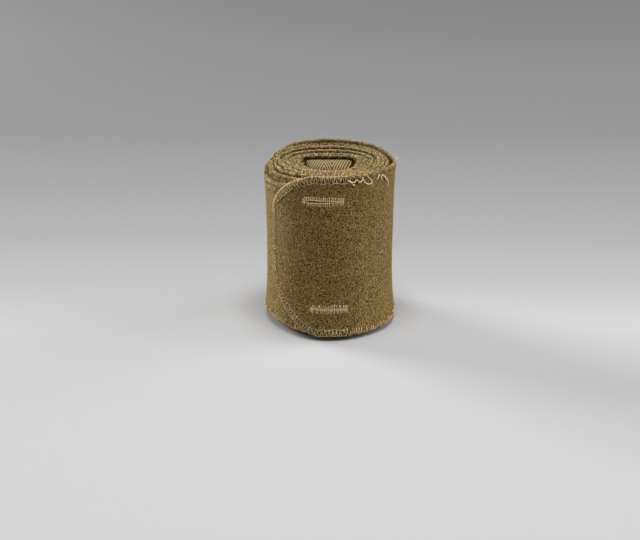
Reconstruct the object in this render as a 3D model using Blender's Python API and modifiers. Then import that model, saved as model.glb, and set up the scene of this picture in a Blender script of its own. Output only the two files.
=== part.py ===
"""A wool puttee, a strip of cloth that winds round the lower leg, rolled up and standing on its edge.

The strip's rounded outer end lies on the front of the roll and has two buttonholes. From there the strip
winds inwards to an oval core, where a folded tie tape stands. Sizes are in millimetres, and the meshes in
metres. The roll's axis is the Z axis, the front is -Y, and turns are counted from the strip's outer end.
"""

import math

import bmesh
import bpy
import numpy as np

MM = 0.001

# The strip
STRIP_WIDTH = 95.0
CLOTH_THICKNESS = 1.7
SEAM_GAP = 0.35
LAST_TURN = 9.30
END_ANGLE = -60.2  # degrees from the front, to the right, where the strip's outer end lies
LAP_RADIUS = 37.0  # of the cloth's outer face near the end, which turns a length into an angle

# The rounded corners of the outer end. A roundness of 2 would be an ellipse, and 1 a straight cut.
TOP_CORNER = {"length": 32.0, "height": 26.0}
BOTTOM_CORNER = {"length": 33.0, "height": 37.0}
CORNER_ROUNDNESS = 1.57

# Buttonholes: distances of the slit's two ends from the strip's end, and its level on the strip
SLITS = (
    {"start": 25.6, "stop": 45.6, "level": 80.6},
    {"start": 29.6, "stop": 47.8, "level": 16.6},
)

# How far the middle of the outermost turn lies from the axis at the waist of the roll
OUTLINE = {"front": 35.7, "right": 35.05, "back": 35.8, "left": 37.45}
TUCK_START = 0.85  # where the outermost turn begins to draw in, to pass under its own end
TUCK_DEPTH = 2.1

# Distance from the middle of each turn to the middle of the turn outside it, on each side of the roll.
# The outermost turn stands away from the rest at the back and at the right.
PITCH = (
    {"turn": 1.00, "front": 2.10, "right": 2.60, "back": 4.00, "left": 2.10},
    {"turn": 1.20, "front": 2.10, "right": 3.60, "back": 4.60, "left": 2.10},
    {"turn": 1.42, "front": 2.10, "right": 4.20, "back": 4.80, "left": 2.10},
    {"turn": 1.67, "front": 2.10, "right": 3.60, "back": 4.70, "left": 2.40},
    {"turn": 1.91, "front": 2.10, "right": 2.40, "back": 3.20, "left": 3.30},
    {"turn": 2.06, "front": 2.10, "right": 2.10, "back": 2.80, "left": 2.15},
    {"turn": 4.00, "front": 2.06, "right": 2.10, "back": 3.20, "left": 2.06},
    {"turn": 6.00, "front": 2.06, "right": 2.10, "back": 3.60, "left": 2.06},
    {"turn": 9.30, "front": 2.06, "right": 2.10, "back": 4.50, "left": 2.06},
)

# Heights of the strip's top and bottom edges along the winding. The inner turns stand on their bottom edge,
# and the outermost turns ride a little above it.
EDGES = (
    {"turn": 0.00, "top": 98.0, "bottom": 2.6},
    {"turn": 0.33, "top": 97.5, "bottom": 2.6},
    {"turn": 0.42, "top": 96.1, "bottom": 2.6},
    {"turn": 0.46, "top": 95.7, "bottom": 2.6},
    {"turn": 0.55, "top": 97.4, "bottom": 2.6},
    {"turn": 0.67, "top": 98.0, "bottom": 2.6},
    {"turn": 0.76, "top": 97.4, "bottom": 2.6},
    {"turn": 0.81, "top": 95.0, "bottom": 3.0},
    {"turn": 0.87, "top": 90.8, "bottom": 4.0},
    {"turn": 0.92, "top": 86.9, "bottom": 4.6},
    {"turn": 1.00, "top": 88.2, "bottom": 4.6},
    {"turn": 1.12, "top": 93.6, "bottom": 3.2},
    {"turn": 1.30, "top": 96.6, "bottom": 2.4},
    {"turn": 1.42, "top": 95.6, "bottom": 2.0},
    {"turn": 1.67, "top": 95.2, "bottom": 1.0},
    {"turn": 1.80, "top": 95.4, "bottom": 1.6},
    {"turn": 1.88, "top": 94.6, "bottom": 2.0},
    {"turn": 1.97, "top": 92.6, "bottom": 2.0},
    {"turn": 2.05, "top": 93.6, "bottom": 1.8},
    {"turn": 2.22, "top": 96.6, "bottom": 1.2},
    {"turn": 2.67, "top": 95.6, "bottom": 0.0},
    {"turn": 2.95, "top": 94.8, "bottom": 0.0},
    {"turn": 3.17, "top": 96.4, "bottom": 0.0},
    {"turn": 3.67, "top": 96.6, "bottom": 0.0},
    {"turn": 4.67, "top": 95.2, "bottom": 0.0},
    {"turn": 5.67, "top": 96.4, "bottom": 0.0},
    {"turn": 6.67, "top": 95.4, "bottom": 0.0},
    {"turn": 7.17, "top": 95.6, "bottom": 0.0},
    {"turn": 7.67, "top": 96.6, "bottom": 0.0},
    {"turn": 8.17, "top": 95.2, "bottom": 0.0},
    {"turn": 8.67, "top": 97.0, "bottom": 0.0},
    {"turn": 9.17, "top": 94.8, "bottom": 0.0},
)

# The sewn edges are thicker than the cloth, so the roll flares towards its top and bottom
TOP_FLARE = {"front": 1.0, "right": 1.2, "back": 0.8, "left": 0.9}
BOTTOM_FLARE = {"front": 2.0, "right": 3.2, "back": 2.0, "left": 1.6}
FLARE_HEIGHT = 46.0
UPRIGHT_EDGE = 2.5  # the height at the top and bottom where the cloth stands straight

# Heights of the mesh rows on a strip of full width
TOP_ROWS = (STRIP_WIDTH - UPRIGHT_EDGE, STRIP_WIDTH)
END_TURN_ROWS = (0.0, UPRIGHT_EDGE, 9.0, 16.1, 17.1, 32.0, 48.0, 64.0, 80.1, 81.1, 87.0, *TOP_ROWS)
INNER_TURN_ROWS = (0.0, UPRIGHT_EDGE, 28.0, 67.0, *TOP_ROWS)
COLUMNS_PER_TURN = 40
END_TURN_COLUMNS = 58
CORNER_COLUMNS = 10
LINE_STEPS = 160  # points of the winding's line in each turn

# Where the first stretch of the strip ends and the next begins, in turns, and how many stretches there are
FIRST_SEAM = 1.15
STRETCHES = 9

# The tie tape, folded up and down in the core. Its front layers bulge towards the front of the roll.
TAPE = {"width": 25.0, "thickness": 1.0, "layers": 6, "middle_x": -1.1, "foot": 0.5}
TAPE_BACK = {"depth": 0.7, "top": 96.4}
TAPE_FRONT = {"depth": -8.8, "top": 94.6, "bulge": 5.8}
TAPE_CROWN = 0.7
TAPE_ACROSS = 6
TAPE_OVER_TOP = 6

WOOL_COLOUR = (0.125, 0.088, 0.036, 1.0)
TAPE_COLOUR = (0.30, 0.24, 0.13, 1.0)


def read_row(table, column, turn):
    """The value of a column at a turn, eased from row to row."""
    turns = [row["turn"] for row in table]
    values = [row[column] for row in table]
    at = min(max(turn, turns[0]), turns[-1])
    step = next(k for k in range(len(turns) - 1) if at <= turns[k + 1])
    share = (at - turns[step]) / (turns[step + 1] - turns[step])
    eased = share * share * (3.0 - 2.0 * share)
    return values[step] + (values[step + 1] - values[step]) * eased


def round_the_roll(angle, side_value):
    """A value that differs on the four sides of the roll, at an angle from the front."""
    ahead, aside = math.cos(angle), math.sin(angle)
    return (
        side_value("front") * max(0.0, ahead) ** 2
        + side_value("back") * max(0.0, -ahead) ** 2
        + side_value("right") * max(0.0, aside) ** 2
        + side_value("left") * max(0.0, -aside) ** 2
    )


class Winding:
    """The middle line of the wound strip, seen from above, with the way out of the roll at each point."""

    def __init__(self):
        self.turns = np.arange(math.ceil(LAST_TURN * LINE_STEPS) + 2) / LINE_STEPS
        outline = np.array([self.outline_point(turn) for turn in self.turns[:LINE_STEPS]])
        line = []
        for k, turn in enumerate(self.turns):
            if k < LINE_STEPS:
                at, before, after = outline[k], outline[k - 1], outline[(k + 1) % LINE_STEPS]
                tuck = min(max((turn - TUCK_START) / (1.0 - TUCK_START), 0.0), 1.0)
                inwards = TUCK_DEPTH * tuck * tuck * (3.0 - 2.0 * tuck)
            else:
                outside = k - LINE_STEPS
                at, before, after = line[outside], line[max(outside - 1, 0)], line[outside + 1]
                inwards = round_the_roll(self.angle(turn), lambda side: read_row(PITCH, side, turn))
            line.append(at + inwards * self.normal(before, after))
        self.line = np.array(line)
        ahead = np.gradient(self.line, axis=0)
        ahead /= np.linalg.norm(ahead, axis=1)[:, None]
        self.out = np.stack([ahead[:, 1], -ahead[:, 0]], axis=1)

    @staticmethod
    def angle(turn):
        return math.radians(END_ANGLE) + 2 * math.pi * turn

    @staticmethod
    def normal(before, after):
        along = (after - before) / np.linalg.norm(after - before)
        return np.array((-along[1], along[0]))

    def outline_point(self, turn):
        angle = self.angle(turn)
        half_width = (OUTLINE["right"] + OUTLINE["left"]) / 2
        half_depth = (OUTLINE["front"] + OUTLINE["back"]) / 2
        x = (OUTLINE["right"] - OUTLINE["left"]) / 2 + half_width * math.sin(angle)
        y = (OUTLINE["back"] - OUTLINE["front"]) / 2 - half_depth * math.cos(angle)
        return x, y

    def point(self, turn, outwards):
        """The place at a turn, moved outwards."""
        x, y = (np.interp(turn, self.turns, self.line[:, k]) for k in (0, 1))
        out_x, out_y = (np.interp(turn, self.turns, self.out[:, k]) for k in (0, 1))
        return x + out_x * outwards, y + out_y * outwards


def flare(turn, height):
    """How far the cloth stands out from the waist of the roll at a height."""
    curved = min(max(height, UPRIGHT_EDGE), STRIP_WIDTH - UPRIGHT_EDGE)
    above = max(0.0, (curved - (STRIP_WIDTH - FLARE_HEIGHT)) / FLARE_HEIGHT)
    below = max(0.0, (FLARE_HEIGHT - curved) / FLARE_HEIGHT)
    share_outside = 1.0 - turn / LAST_TURN
    angle = Winding.angle(turn)
    at_top = round_the_roll(angle, TOP_FLARE.get) * above**2
    at_bottom = round_the_roll(angle, BOTTOM_FLARE.get) * below**2
    return share_outside * (at_top + at_bottom)


def on_roll(winding, turn, height):
    """The point of the strip's middle surface at a turn and a real height."""
    x, y = winding.point(turn, flare(turn, height))
    return x * MM, y * MM, height * MM


def turns_of_length(length):
    return length / (2 * math.pi * LAP_RADIUS)


def corner_drop(distance, corner):
    """How far a rounded corner has drawn the edge in, at a distance from the strip's end."""
    left = max(0.0, 1.0 - distance / corner["length"])
    return corner["height"] * (1.0 - (1.0 - left**CORNER_ROUNDNESS) ** (1.0 / CORNER_ROUNDNESS))


def height_at(turn, distance, level):
    """The real height of a level of the strip, between its bottom and top edges."""
    bottom = read_row(EDGES, "bottom", turn) + corner_drop(distance, BOTTOM_CORNER)
    top = read_row(EDGES, "top", turn) - corner_drop(distance, TOP_CORNER)
    return bottom + (top - bottom) * level / STRIP_WIDTH


def end_turn_columns(last_turn):
    """Distances from the strip's end: close together at the round corners, and one at each slit's ends."""
    corner_length = BOTTOM_CORNER["length"]
    columns = [
        corner_length * (1.0 - math.cos(math.pi / 2 * k / CORNER_COLUMNS)) for k in range(CORNER_COLUMNS)
    ]
    total = last_turn * 2 * math.pi * LAP_RADIUS
    columns += list(np.linspace(corner_length, total, END_TURN_COLUMNS))
    slit_ends = [slit[side] for slit in SLITS for side in ("start", "stop")]
    columns = [c for c in columns if all(abs(c - end) > 1.2 for end in slit_ends)]
    return sorted(columns + slit_ends)


def collection_named(name):
    collection = bpy.data.collections.new(name)
    bpy.context.scene.collection.children.link(collection)
    return collection


def cloth_material(name, colour, roughness):
    material = bpy.data.materials.new(name)
    material.use_nodes = True
    shader = material.node_tree.nodes["Principled BSDF"]
    shader.inputs["Base Color"].default_value = colour
    shader.inputs["Roughness"].default_value = roughness
    shader.inputs["Metallic"].default_value = 0.0
    return material


def bent_grid(columns, rows, place, is_open=None):
    """A flat grid of cloth whose points are carried to their places, with its open faces taken out."""
    bm = bmesh.new()
    bmesh.ops.create_grid(bm, x_segments=len(columns) - 1, y_segments=len(rows) - 1, size=0.5)
    spots = {
        vertex: (
            round((vertex.co.x + 0.5) * (len(columns) - 1)),
            round((vertex.co.y + 0.5) * (len(rows) - 1)),
        )
        for vertex in bm.verts
    }
    if is_open:
        open_faces = [face for face in bm.faces if is_open([spots[vertex] for vertex in face.verts])]
        bmesh.ops.delete(bm, geom=open_faces, context="FACES")
    for vertex in bm.verts:
        column, row = spots[vertex]
        vertex.co = place(columns[column], rows[row])
    return bm


def cloth_object(name, bm, thickness, material, collection):
    mesh = bpy.data.meshes.new(name)
    bm.to_mesh(mesh)
    bm.free()
    mesh.shade_smooth()
    mesh.materials.append(material)
    cloth = bpy.data.objects.new(name, mesh)
    collection.objects.link(cloth)
    solidify = cloth.modifiers.new("Cloth thickness", "SOLIDIFY")
    solidify.thickness = thickness * MM
    solidify.offset = 0.0
    solidify.use_even_offset = True
    return cloth


def make_end_turn(winding, collection):
    """The outermost turn: the rounded end with its buttonholes, and once round to under itself."""
    columns = end_turn_columns(FIRST_SEAM - turns_of_length(SEAM_GAP) / 2)

    def place(distance, level):
        turn = turns_of_length(distance)
        return on_roll(winding, turn, height_at(turn, distance, level))

    def in_slit(corners):
        distances = [columns[column] for column, _ in corners]
        levels = [END_TURN_ROWS[row] for _, row in corners]
        return any(
            min(distances) >= slit["start"]
            and max(distances) <= slit["stop"]
            and min(levels) < slit["level"] < max(levels)
            for slit in SLITS
        )

    bm = bent_grid(columns, END_TURN_ROWS, place, in_slit)
    material = cloth_material("End turn wool", WOOL_COLOUR, 0.95)
    return cloth_object("end_turn", bm, CLOTH_THICKNESS, material, collection)


def make_inner_turn(winding, number, collection):
    """One more turn of the strip, counted from the outside."""
    first = FIRST_SEAM + (number - 2) + turns_of_length(SEAM_GAP) / 2
    last = LAST_TURN if number == STRETCHES else first + 1.0 - turns_of_length(SEAM_GAP)
    columns = np.linspace(first, last, round((last - first) * COLUMNS_PER_TURN) + 1)

    def place(turn, level):
        return on_roll(winding, turn, height_at(turn, math.inf, level))

    bm = bent_grid(columns, INNER_TURN_ROWS, place)
    material = cloth_material(f"Turn {number} wool", WOOL_COLOUR, 0.95)
    return cloth_object(f"turn_{number}", bm, CLOTH_THICKNESS, material, collection)


def tape_line():
    """The tape's folds from the side: up the front, over the top, down the back, then up and down inside.

    Each point has its layer, counted from the front and with halves in a fold, and its height.
    """
    last = TAPE["layers"] - 1
    foot = TAPE["foot"] + TAPE["thickness"] / 2

    def top(layer):
        share = layer / last
        crown = TAPE_CROWN * 4 * share * (1.0 - share)
        slope = TAPE_FRONT["top"] + (TAPE_BACK["top"] - TAPE_FRONT["top"]) * share
        return slope + crown - TAPE["thickness"] / 2

    line = [(0.0, foot), (0.0, top(0.0) - 2.0)]
    line += [(last * k / TAPE_OVER_TOP, top(last * k / TAPE_OVER_TOP)) for k in range(1, TAPE_OVER_TOP)]
    line += [(last, top(last) - 1.6)]
    for layer in range(last, 1, -1):
        folds_down = (last - layer) % 2 == 0
        fold_top = top(layer - 0.5) - 2.4 * TAPE["thickness"]
        fold_end, way = (foot + 0.7, -1) if folds_down else (fold_top, 1)
        line.append((layer, fold_end))
        line.append((layer - 0.5, fold_end + 0.7 * way))
        line.append((layer - 1, fold_end))
    return line + [(1.0, foot)]


def make_tie_tape(collection):
    line = tape_line()
    across = np.linspace(-1.0, 1.0, TAPE_ACROSS + 1)

    def place(step, side):
        layer, height = line[step]
        ahead = 1.0 - layer / (TAPE["layers"] - 1)
        straight = TAPE_BACK["depth"] + (TAPE_FRONT["depth"] - TAPE_BACK["depth"]) * ahead
        depth = straight - TAPE_FRONT["bulge"] * ahead * (1.0 - side**2)
        return (TAPE["middle_x"] + side * TAPE["width"] / 2) * MM, depth * MM, height * MM

    bm = bent_grid(range(len(line)), across, place)
    material = cloth_material("Cotton tape", TAPE_COLOUR, 0.9)
    return cloth_object("tie_tape", bm, TAPE["thickness"], material, collection)


def main():
    for old in list(bpy.data.objects):
        bpy.data.objects.remove(old, do_unlink=True)
    collection = collection_named("Rolled puttee")
    winding = Winding()
    make_end_turn(winding, collection)
    for number in range(2, STRETCHES + 1):
        make_inner_turn(winding, number, collection)
    make_tie_tape(collection)


main()
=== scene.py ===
"""The finish and fine form of a rolled wool puttee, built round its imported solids.

Lengths are in millimetres until a mesh is made, and meshes are in metres. A place on the cloth is given by
its distance from the strip's outer end, its height above the base, and how far it lies outwards from the
middle of the cloth. The front of the roll is -Y, and turns are counted from the strip's outer end.
"""

from math import ceil, cos, pi, radians, sin

import bmesh
import bpy
import numpy as np
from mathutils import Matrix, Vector


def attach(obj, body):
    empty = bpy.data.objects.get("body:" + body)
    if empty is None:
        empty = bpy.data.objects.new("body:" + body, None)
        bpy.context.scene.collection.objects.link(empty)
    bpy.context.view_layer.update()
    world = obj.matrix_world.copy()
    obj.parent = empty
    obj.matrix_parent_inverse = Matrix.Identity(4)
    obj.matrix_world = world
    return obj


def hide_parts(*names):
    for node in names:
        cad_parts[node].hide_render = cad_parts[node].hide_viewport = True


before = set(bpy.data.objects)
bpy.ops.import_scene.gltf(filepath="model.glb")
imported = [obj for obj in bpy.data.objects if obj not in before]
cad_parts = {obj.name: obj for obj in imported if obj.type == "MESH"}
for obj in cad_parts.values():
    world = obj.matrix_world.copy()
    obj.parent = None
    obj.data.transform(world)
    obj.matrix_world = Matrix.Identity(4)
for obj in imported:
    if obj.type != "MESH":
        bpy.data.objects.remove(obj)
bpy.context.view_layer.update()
scene = bpy.context.scene

MM = 0.001
FAR = 99.0  # a distance beyond the reach of any sewing
INNER_NODES = [name for name in sorted(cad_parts) if name.startswith("turn_")]


def table(columns, *rows):
    """A table of numbers, as an array for each of its columns."""
    return dict(zip(columns.split(), np.array(rows).T))


# The strip, as the solids have it
STRIP_WIDTH = 95.0
LAST_TURN = 9.30
END_ANGLE = -60.2
LAP_RADIUS = 37.0
TOP_CORNER = {"length": 32.0, "height": 26.0}
BOTTOM_CORNER = {"length": 33.0, "height": 37.0}
CORNER_ROUNDNESS = 1.57
FIRST_SEAM = 1.15
OUTLINE = {"front": 35.7, "right": 35.05, "back": 35.8, "left": 37.45}
TUCK_START = 0.85
TUCK_DEPTH = 2.1
LINE_STEPS = 160
PITCH = table(
    "turn front right back left",
    (1.00, 2.10, 2.60, 4.00, 2.10), (1.20, 2.10, 3.60, 4.60, 2.10), (1.42, 2.10, 4.20, 4.80, 2.10),
    (1.67, 2.10, 3.60, 4.70, 2.40), (1.91, 2.10, 2.40, 3.20, 3.30), (2.06, 2.10, 2.10, 2.80, 2.15),
    (4.00, 2.06, 2.10, 3.20, 2.06), (6.00, 2.06, 2.10, 3.60, 2.06), (9.30, 2.06, 2.10, 4.50, 2.06),
)
EDGES = table(
    "turn top bottom",
    (0.00, 98.0, 2.6), (0.33, 97.5, 2.6), (0.42, 96.1, 2.6), (0.46, 95.7, 2.6), (0.55, 97.4, 2.6),
    (0.67, 98.0, 2.6), (0.76, 97.4, 2.6), (0.81, 95.0, 3.0), (0.87, 90.8, 4.0), (0.92, 86.9, 4.6),
    (1.00, 88.2, 4.6), (1.12, 93.6, 3.2), (1.30, 96.6, 2.4), (1.42, 95.6, 2.0), (1.67, 95.2, 1.0),
    (1.80, 95.4, 1.6), (1.88, 94.6, 2.0), (1.97, 92.6, 2.0), (2.05, 93.6, 1.8), (2.22, 96.6, 1.2),
    (2.67, 95.6, 0.0), (2.95, 94.8, 0.0), (3.17, 96.4, 0.0), (3.67, 96.6, 0.0), (4.67, 95.2, 0.0),
    (5.67, 96.4, 0.0), (6.67, 95.4, 0.0), (7.17, 95.6, 0.0), (7.67, 96.6, 0.0), (8.17, 95.2, 0.0),
    (8.67, 97.0, 0.0), (9.17, 94.8, 0.0),
)
TOP_FLARE = {"front": 1.0, "right": 1.2, "back": 0.8, "left": 0.9}
BOTTOM_FLARE = {"front": 2.0, "right": 3.2, "back": 2.0, "left": 1.6}
FLARE_HEIGHT = 46.0
UPRIGHT_EDGE = 2.5
OUTER_LIFT = 2.6  # how far the outermost turn stands above the floor

# The buttonholes' slits. The level is a row of the mesh, the height is where the slit lies, and the gape near
# its start and at its closed end is half of its opening.
SLITS = (
    {"start": 25.6, "stop": 45.6, "level": 80.6, "height": 83.2, "gape": 0.95, "closed": 0.14},
    {"start": 29.6, "stop": 47.8, "level": 16.6, "height": 19.2, "gape": 0.34, "closed": 0.20},
)
SLIT_ROWS = (0.5, 1.6, 3.4)  # the mesh's rows beside a slit's level, of which the first is its lip

# Waves of the wound cloth: how fast each changes round the roll, its height, its start and its size
SHARED_WAVES = (3.0, 31.0, 0.6, 0.5), (5.0, -19.0, 2.1, 0.5)
OWN_WAVES = (23.0, 14.0, 0.0, 1.0), (61.0, -9.0, 1.3, 0.6)

# The cloth's own thickness, and how it thins in rows towards a cut edge that the sewing has squeezed
CLOTH_THICKNESS = 1.5
HALF_CLOTH = CLOTH_THICKNESS / 2
RIM_ROWS = {0.0: 0.34, 0.25: 0.68, 0.7: 0.90, 1.4: 1.0}
YARN_REACH = 0.5  # how far the yarns and threads stand past the cloth's own edges

# Overlock sewing round the strip's outer end, as far as this distance from it. Threads are given by radius.
OVERLOCK_END = 49.3
STITCH_PITCH = 2.06
NEEDLE_DEPTH = 3.8
NEEDLE_THREAD = 0.20
LOOPER_THREAD = 0.165
LOOPER_SWELLING = (6.0, 30.0, 60.0, 90.0), (1.5, 0.95, 0.80, 1.05)  # heights, and shares of the radius there
CORD_THREAD = 0.15
LOOSE_THREAD = 0.22

# Painted shade: how dark the cloth is painted under the overlock, between its threads, and beside the
# selvedges, between the loops and the wound turns, with how far that reaches
OVERLOCK_PAINTED_SHADE = 0.62
OUTER_EDGE_PAINTED_SHADE, INNER_EDGE_PAINTED_SHADE = (0.30, 2.8), (0.75, 6.0)

# Wool yarn: its loops over the long edges, its curls and its fibres
LOOP_PITCH = 1.05
YARN = 0.23
CURL_YARN = 0.165
FIBRE = 0.022

# Curls over the rims, thinned at the front. A zone fades in and out, and its extra ones lie between turns.
RIM_CURLS = {"count": 4000, "from": 0.24, "thinned": 0.55, "span": (0.5, 1.25), "crest": (0.15, 0.75),
             "sunk": (0.5, 1.4), "aside": 0.36, "lap_span": 0.6}
TUCKED_CURLS = {"fades": (0.74, 0.82, 0.98, 1.06), "extra": (0.76, 1.02), "reach": 2.2}
BACK_CURLS = {"fades": (1.46, 1.56, 1.80, 1.90), "extra": (1.48, 1.88), "reach": 1.2, "lean": 1.2}
CORE_CURLS = {"fades": (8.15, 8.35), "sides": 2.2, "back": 1.1}
FACE_CURLS = {"count": 600, "span": (0.4, 1.1), "crest": (0.15, 1.1), "lap_crest": 0.55, "lap_depth": 3.0}
INNER_FACE, LAP_FACE = (1.74, 2.16), (0.80, 1.08)  # the turns whose outer faces have curls
CURL_BEND = 0.35
FUZZ = {"count": 4500, "length": (0.35, 1.0), "rise": (0.2, 0.65), "curl": 0.9}

# Buttonhole stitches, and the bars across the ends of the slits: past the end, and from low to high at it
BUTTONHOLE_PITCH = 1.13
BUTTONHOLE_THREAD = 0.21
PURL_THREAD = 0.20
STITCH_REACH = 2.4  # how far the stitches reach from a lip of a slit
BARS = {"start": (-0.9, -1.4, 1.3), "stop": (0.9, -1.9, 1.9)}

# The tie tape, folded up and down in the core, as the solid has it
TAPE = {"width": 25.0, "thickness": 0.8, "layers": 6, "middle_x": -1.1, "foot": 0.5}
TAPE_BACK = {"depth": 0.7, "top": 96.4}
TAPE_FRONT = {"depth": -8.8, "top": 94.6, "bulge": 5.8}
TAPE_CROWN = 0.7
TAPE_OVER_TOP = 6
TAPE_CORNER_DROP = 5.5
TAPE_STEP, TAPE_ROWS = 0.22, 111  # the tape's mesh
TAPE_FINE_ABOVE = 84.0  # the height from which the tape shows, so that its mesh is fine

# The camera stands in front of the roll and looks down on it. Its place is in metres, as the floor's is.
CAMERA_PLACE = (-0.0062, -0.600, 0.2796)
CAMERA_PITCH = 21.19  # degrees below the horizon
FOCAL_PIXELS = 1100.0
PICTURE_WIDTH = 640.0
OPTICAL_CENTRE_RISE = 30.0  # pixels above the middle of the picture
SENSOR_WIDTH = 36.0

rng = np.random.default_rng(11)


# Where the cloth lies


def read_row(chart, column, turn):
    """The value of a column at each turn, eased from row to row."""
    marks, values = chart["turn"], chart[column]
    at = np.clip(turn, marks[0], marks[-1])
    step = np.clip(np.searchsorted(marks, at) - 1, 0, len(marks) - 2)
    share = (at - marks[step]) / (marks[step + 1] - marks[step])
    eased = share * share * (3.0 - 2.0 * share)
    return values[step] + (values[step + 1] - values[step]) * eased


def round_the_roll(angle, side_value):
    """A value that differs on the four sides of the roll, at an angle from the front."""
    ahead, aside = np.cos(angle), np.sin(angle)
    ways = {"front": ahead, "back": -ahead, "right": aside, "left": -aside}
    return sum(side_value(side) * np.maximum(0.0, way) ** 2 for side, way in ways.items())


def angle_of(turn):
    return radians(END_ANGLE) + 2 * pi * np.asarray(turn)


class Winding:
    """The middle line of the wound strip, seen from above, with the way out of the roll at each point."""

    def __init__(self):
        self.turns = np.arange(ceil(LAST_TURN * LINE_STEPS) + 2) / LINE_STEPS
        outline = self.outline(self.turns[:LINE_STEPS])
        line = []
        for k, turn in enumerate(self.turns):
            if k < LINE_STEPS:
                at, before, after = outline[k], outline[k - 1], outline[(k + 1) % LINE_STEPS]
                tuck = min(max((turn - TUCK_START) / (1.0 - TUCK_START), 0.0), 1.0)
                inwards = TUCK_DEPTH * tuck * tuck * (3.0 - 2.0 * tuck)
            else:
                outside = k - LINE_STEPS
                at, before, after = line[outside], line[max(outside - 1, 0)], line[outside + 1]
                inwards = round_the_roll(angle_of(turn), lambda side: read_row(PITCH, side, turn))
            along = (after - before) / np.linalg.norm(after - before)
            line.append(at + inwards * np.array((-along[1], along[0])))
        self.line = np.array(line)
        ahead = np.gradient(self.line, axis=0)
        ahead /= np.linalg.norm(ahead, axis=1)[:, None]
        self.out = np.stack([ahead[:, 1], -ahead[:, 0]], axis=1)
        steps = np.linalg.norm(np.diff(self.line, axis=0), axis=1)
        self.lengths = np.concatenate([[0.0], np.cumsum(steps)])

    @staticmethod
    def outline(turn):
        angle = angle_of(turn)
        front, right, back, left = OUTLINE.values()
        x = (right - left) / 2 + (right + left) / 2 * np.sin(angle)
        y = (back - front) / 2 - (front + back) / 2 * np.cos(angle)
        return np.stack([x, y], axis=1)

    def point(self, turn, outwards):
        """The places at these turns, moved outwards, as two columns."""

        def at(line, k):
            return np.interp(turn, self.turns, line[:, k])

        return np.stack([at(self.line, k) + at(self.out, k) * outwards for k in (0, 1)], axis=-1)

    def turn_at(self, length):
        return np.interp(length, self.lengths, self.turns)

    def length_at(self, turn):
        return np.interp(turn, self.turns, self.lengths)


WINDING = Winding()
STRIP_LENGTH = float(WINDING.length_at(LAST_TURN))


def turn_of(distance):
    """The turn at a distance from the strip's end, measured on the outer face of the lap."""
    return np.asarray(distance) / (2 * pi * LAP_RADIUS)


def distance_of(turn):
    return np.asarray(turn) * 2 * pi * LAP_RADIUS


def flare(turn, height):
    """How far the cloth stands out from the waist of the roll at a height."""
    curved = np.clip(height, UPRIGHT_EDGE, STRIP_WIDTH - UPRIGHT_EDGE)
    above = np.maximum(0.0, (curved - (STRIP_WIDTH - FLARE_HEIGHT)) / FLARE_HEIGHT)
    below = np.maximum(0.0, (FLARE_HEIGHT - curved) / FLARE_HEIGHT)
    angle = angle_of(turn)
    at_top = round_the_roll(angle, TOP_FLARE.get) * above**2
    at_bottom = round_the_roll(angle, BOTTOM_FLARE.get) * below**2
    return (1.0 - turn / LAST_TURN) * (at_top + at_bottom)


def soft_waves(turn, height):
    """Slow hollows and swellings of the wound cloth, which every turn shares, and finer ones of each turn."""

    def waves(rows, place):
        return sum(size * np.sin(fast * place + height / tall + start) for fast, tall, start, size in rows)

    shared, own = waves(SHARED_WAVES, angle_of(turn)), waves(OWN_WAVES, turn)
    outermost = np.clip((1.0 - turn) / 0.1, 0.0, 1.0)
    return (0.10 + 0.18 * outermost) * shared + (0.05 + 0.07 * outermost) * own


def on_cloth(turn, height, out=0.0):
    """Places on the wound strip: out is the way outwards from the middle of the cloth."""
    turn, height = np.broadcast_arrays(np.asarray(turn, float), np.asarray(height, float))
    outwards = flare(turn, height) + soft_waves(turn, height) + out
    plan = WINDING.point(turn, outwards)
    return np.concatenate([plan, height[..., None]], axis=-1)


def corner_drop(distance, corner):
    left = np.maximum(0.0, 1.0 - distance / corner["length"])
    return corner["height"] * (1.0 - (1.0 - left**CORNER_ROUNDNESS) ** (1.0 / CORNER_ROUNDNESS))


def long_edge_heights(turn):
    """The heights of the cloth's bottom and top edges away from the rounded corners."""
    return read_row(EDGES, "bottom", turn) + YARN_REACH, read_row(EDGES, "top", turn) - YARN_REACH


def edge_heights(distance):
    """The heights of the cloth's bottom and top edges at a distance from its end."""
    bottom, top = long_edge_heights(turn_of(distance))
    return bottom + corner_drop(distance, BOTTOM_CORNER), top - corner_drop(distance, TOP_CORNER)


# Meshes


def carried_grid(columns, rows, place, is_open=None):
    """A mesh made from a flat grid carried to its places, with each vertex's column and row."""
    columns, rows = np.asarray(columns), np.asarray(rows)
    ends = len(columns) - 1, len(rows) - 1

    def spot(vertex):
        return columns[round((vertex.co.x + 0.5) * ends[0])], rows[round((vertex.co.y + 0.5) * ends[1])]

    bm = bmesh.new()
    bmesh.ops.create_grid(bm, x_segments=ends[0], y_segments=ends[1], size=0.5)
    if is_open:
        holes = [face for face in bm.faces if is_open(*zip(*map(spot, face.verts)))]
        bmesh.ops.delete(bm, geom=holes, context="FACES")
    mesh = bpy.data.meshes.new("cloth")
    bm.to_mesh(mesh)
    bm.free()
    flat = np.empty(len(mesh.vertices) * 3, np.float32)
    mesh.vertices.foreach_get("co", flat)
    steps = np.rint((flat.reshape(-1, 3)[:, :2] + 0.5) * ends).astype(int)
    column, row = columns[steps[:, 0]], rows[steps[:, 1]]
    mesh.vertices.foreach_set("co", (place(column, row) * MM).astype(np.float32).ravel())
    mesh.update()
    return mesh, column, row


def add_value(mesh, name, values):
    mesh.attributes.new(name, "FLOAT", "POINT").data.foreach_set("value", values.astype(np.float32))


def add_flat_map(mesh, across, along):
    """A UV map that says where each vertex lies on the flat cloth, in metres."""
    layer = mesh.uv_layers.new(name="Flat cloth")
    corners = np.empty(len(mesh.loops), np.int32)
    mesh.loops.foreach_get("vertex_index", corners)
    spots = np.stack([across, along], axis=1)[corners] * MM
    layer.data.foreach_set("uv", spots.astype(np.float32).ravel())


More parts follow.
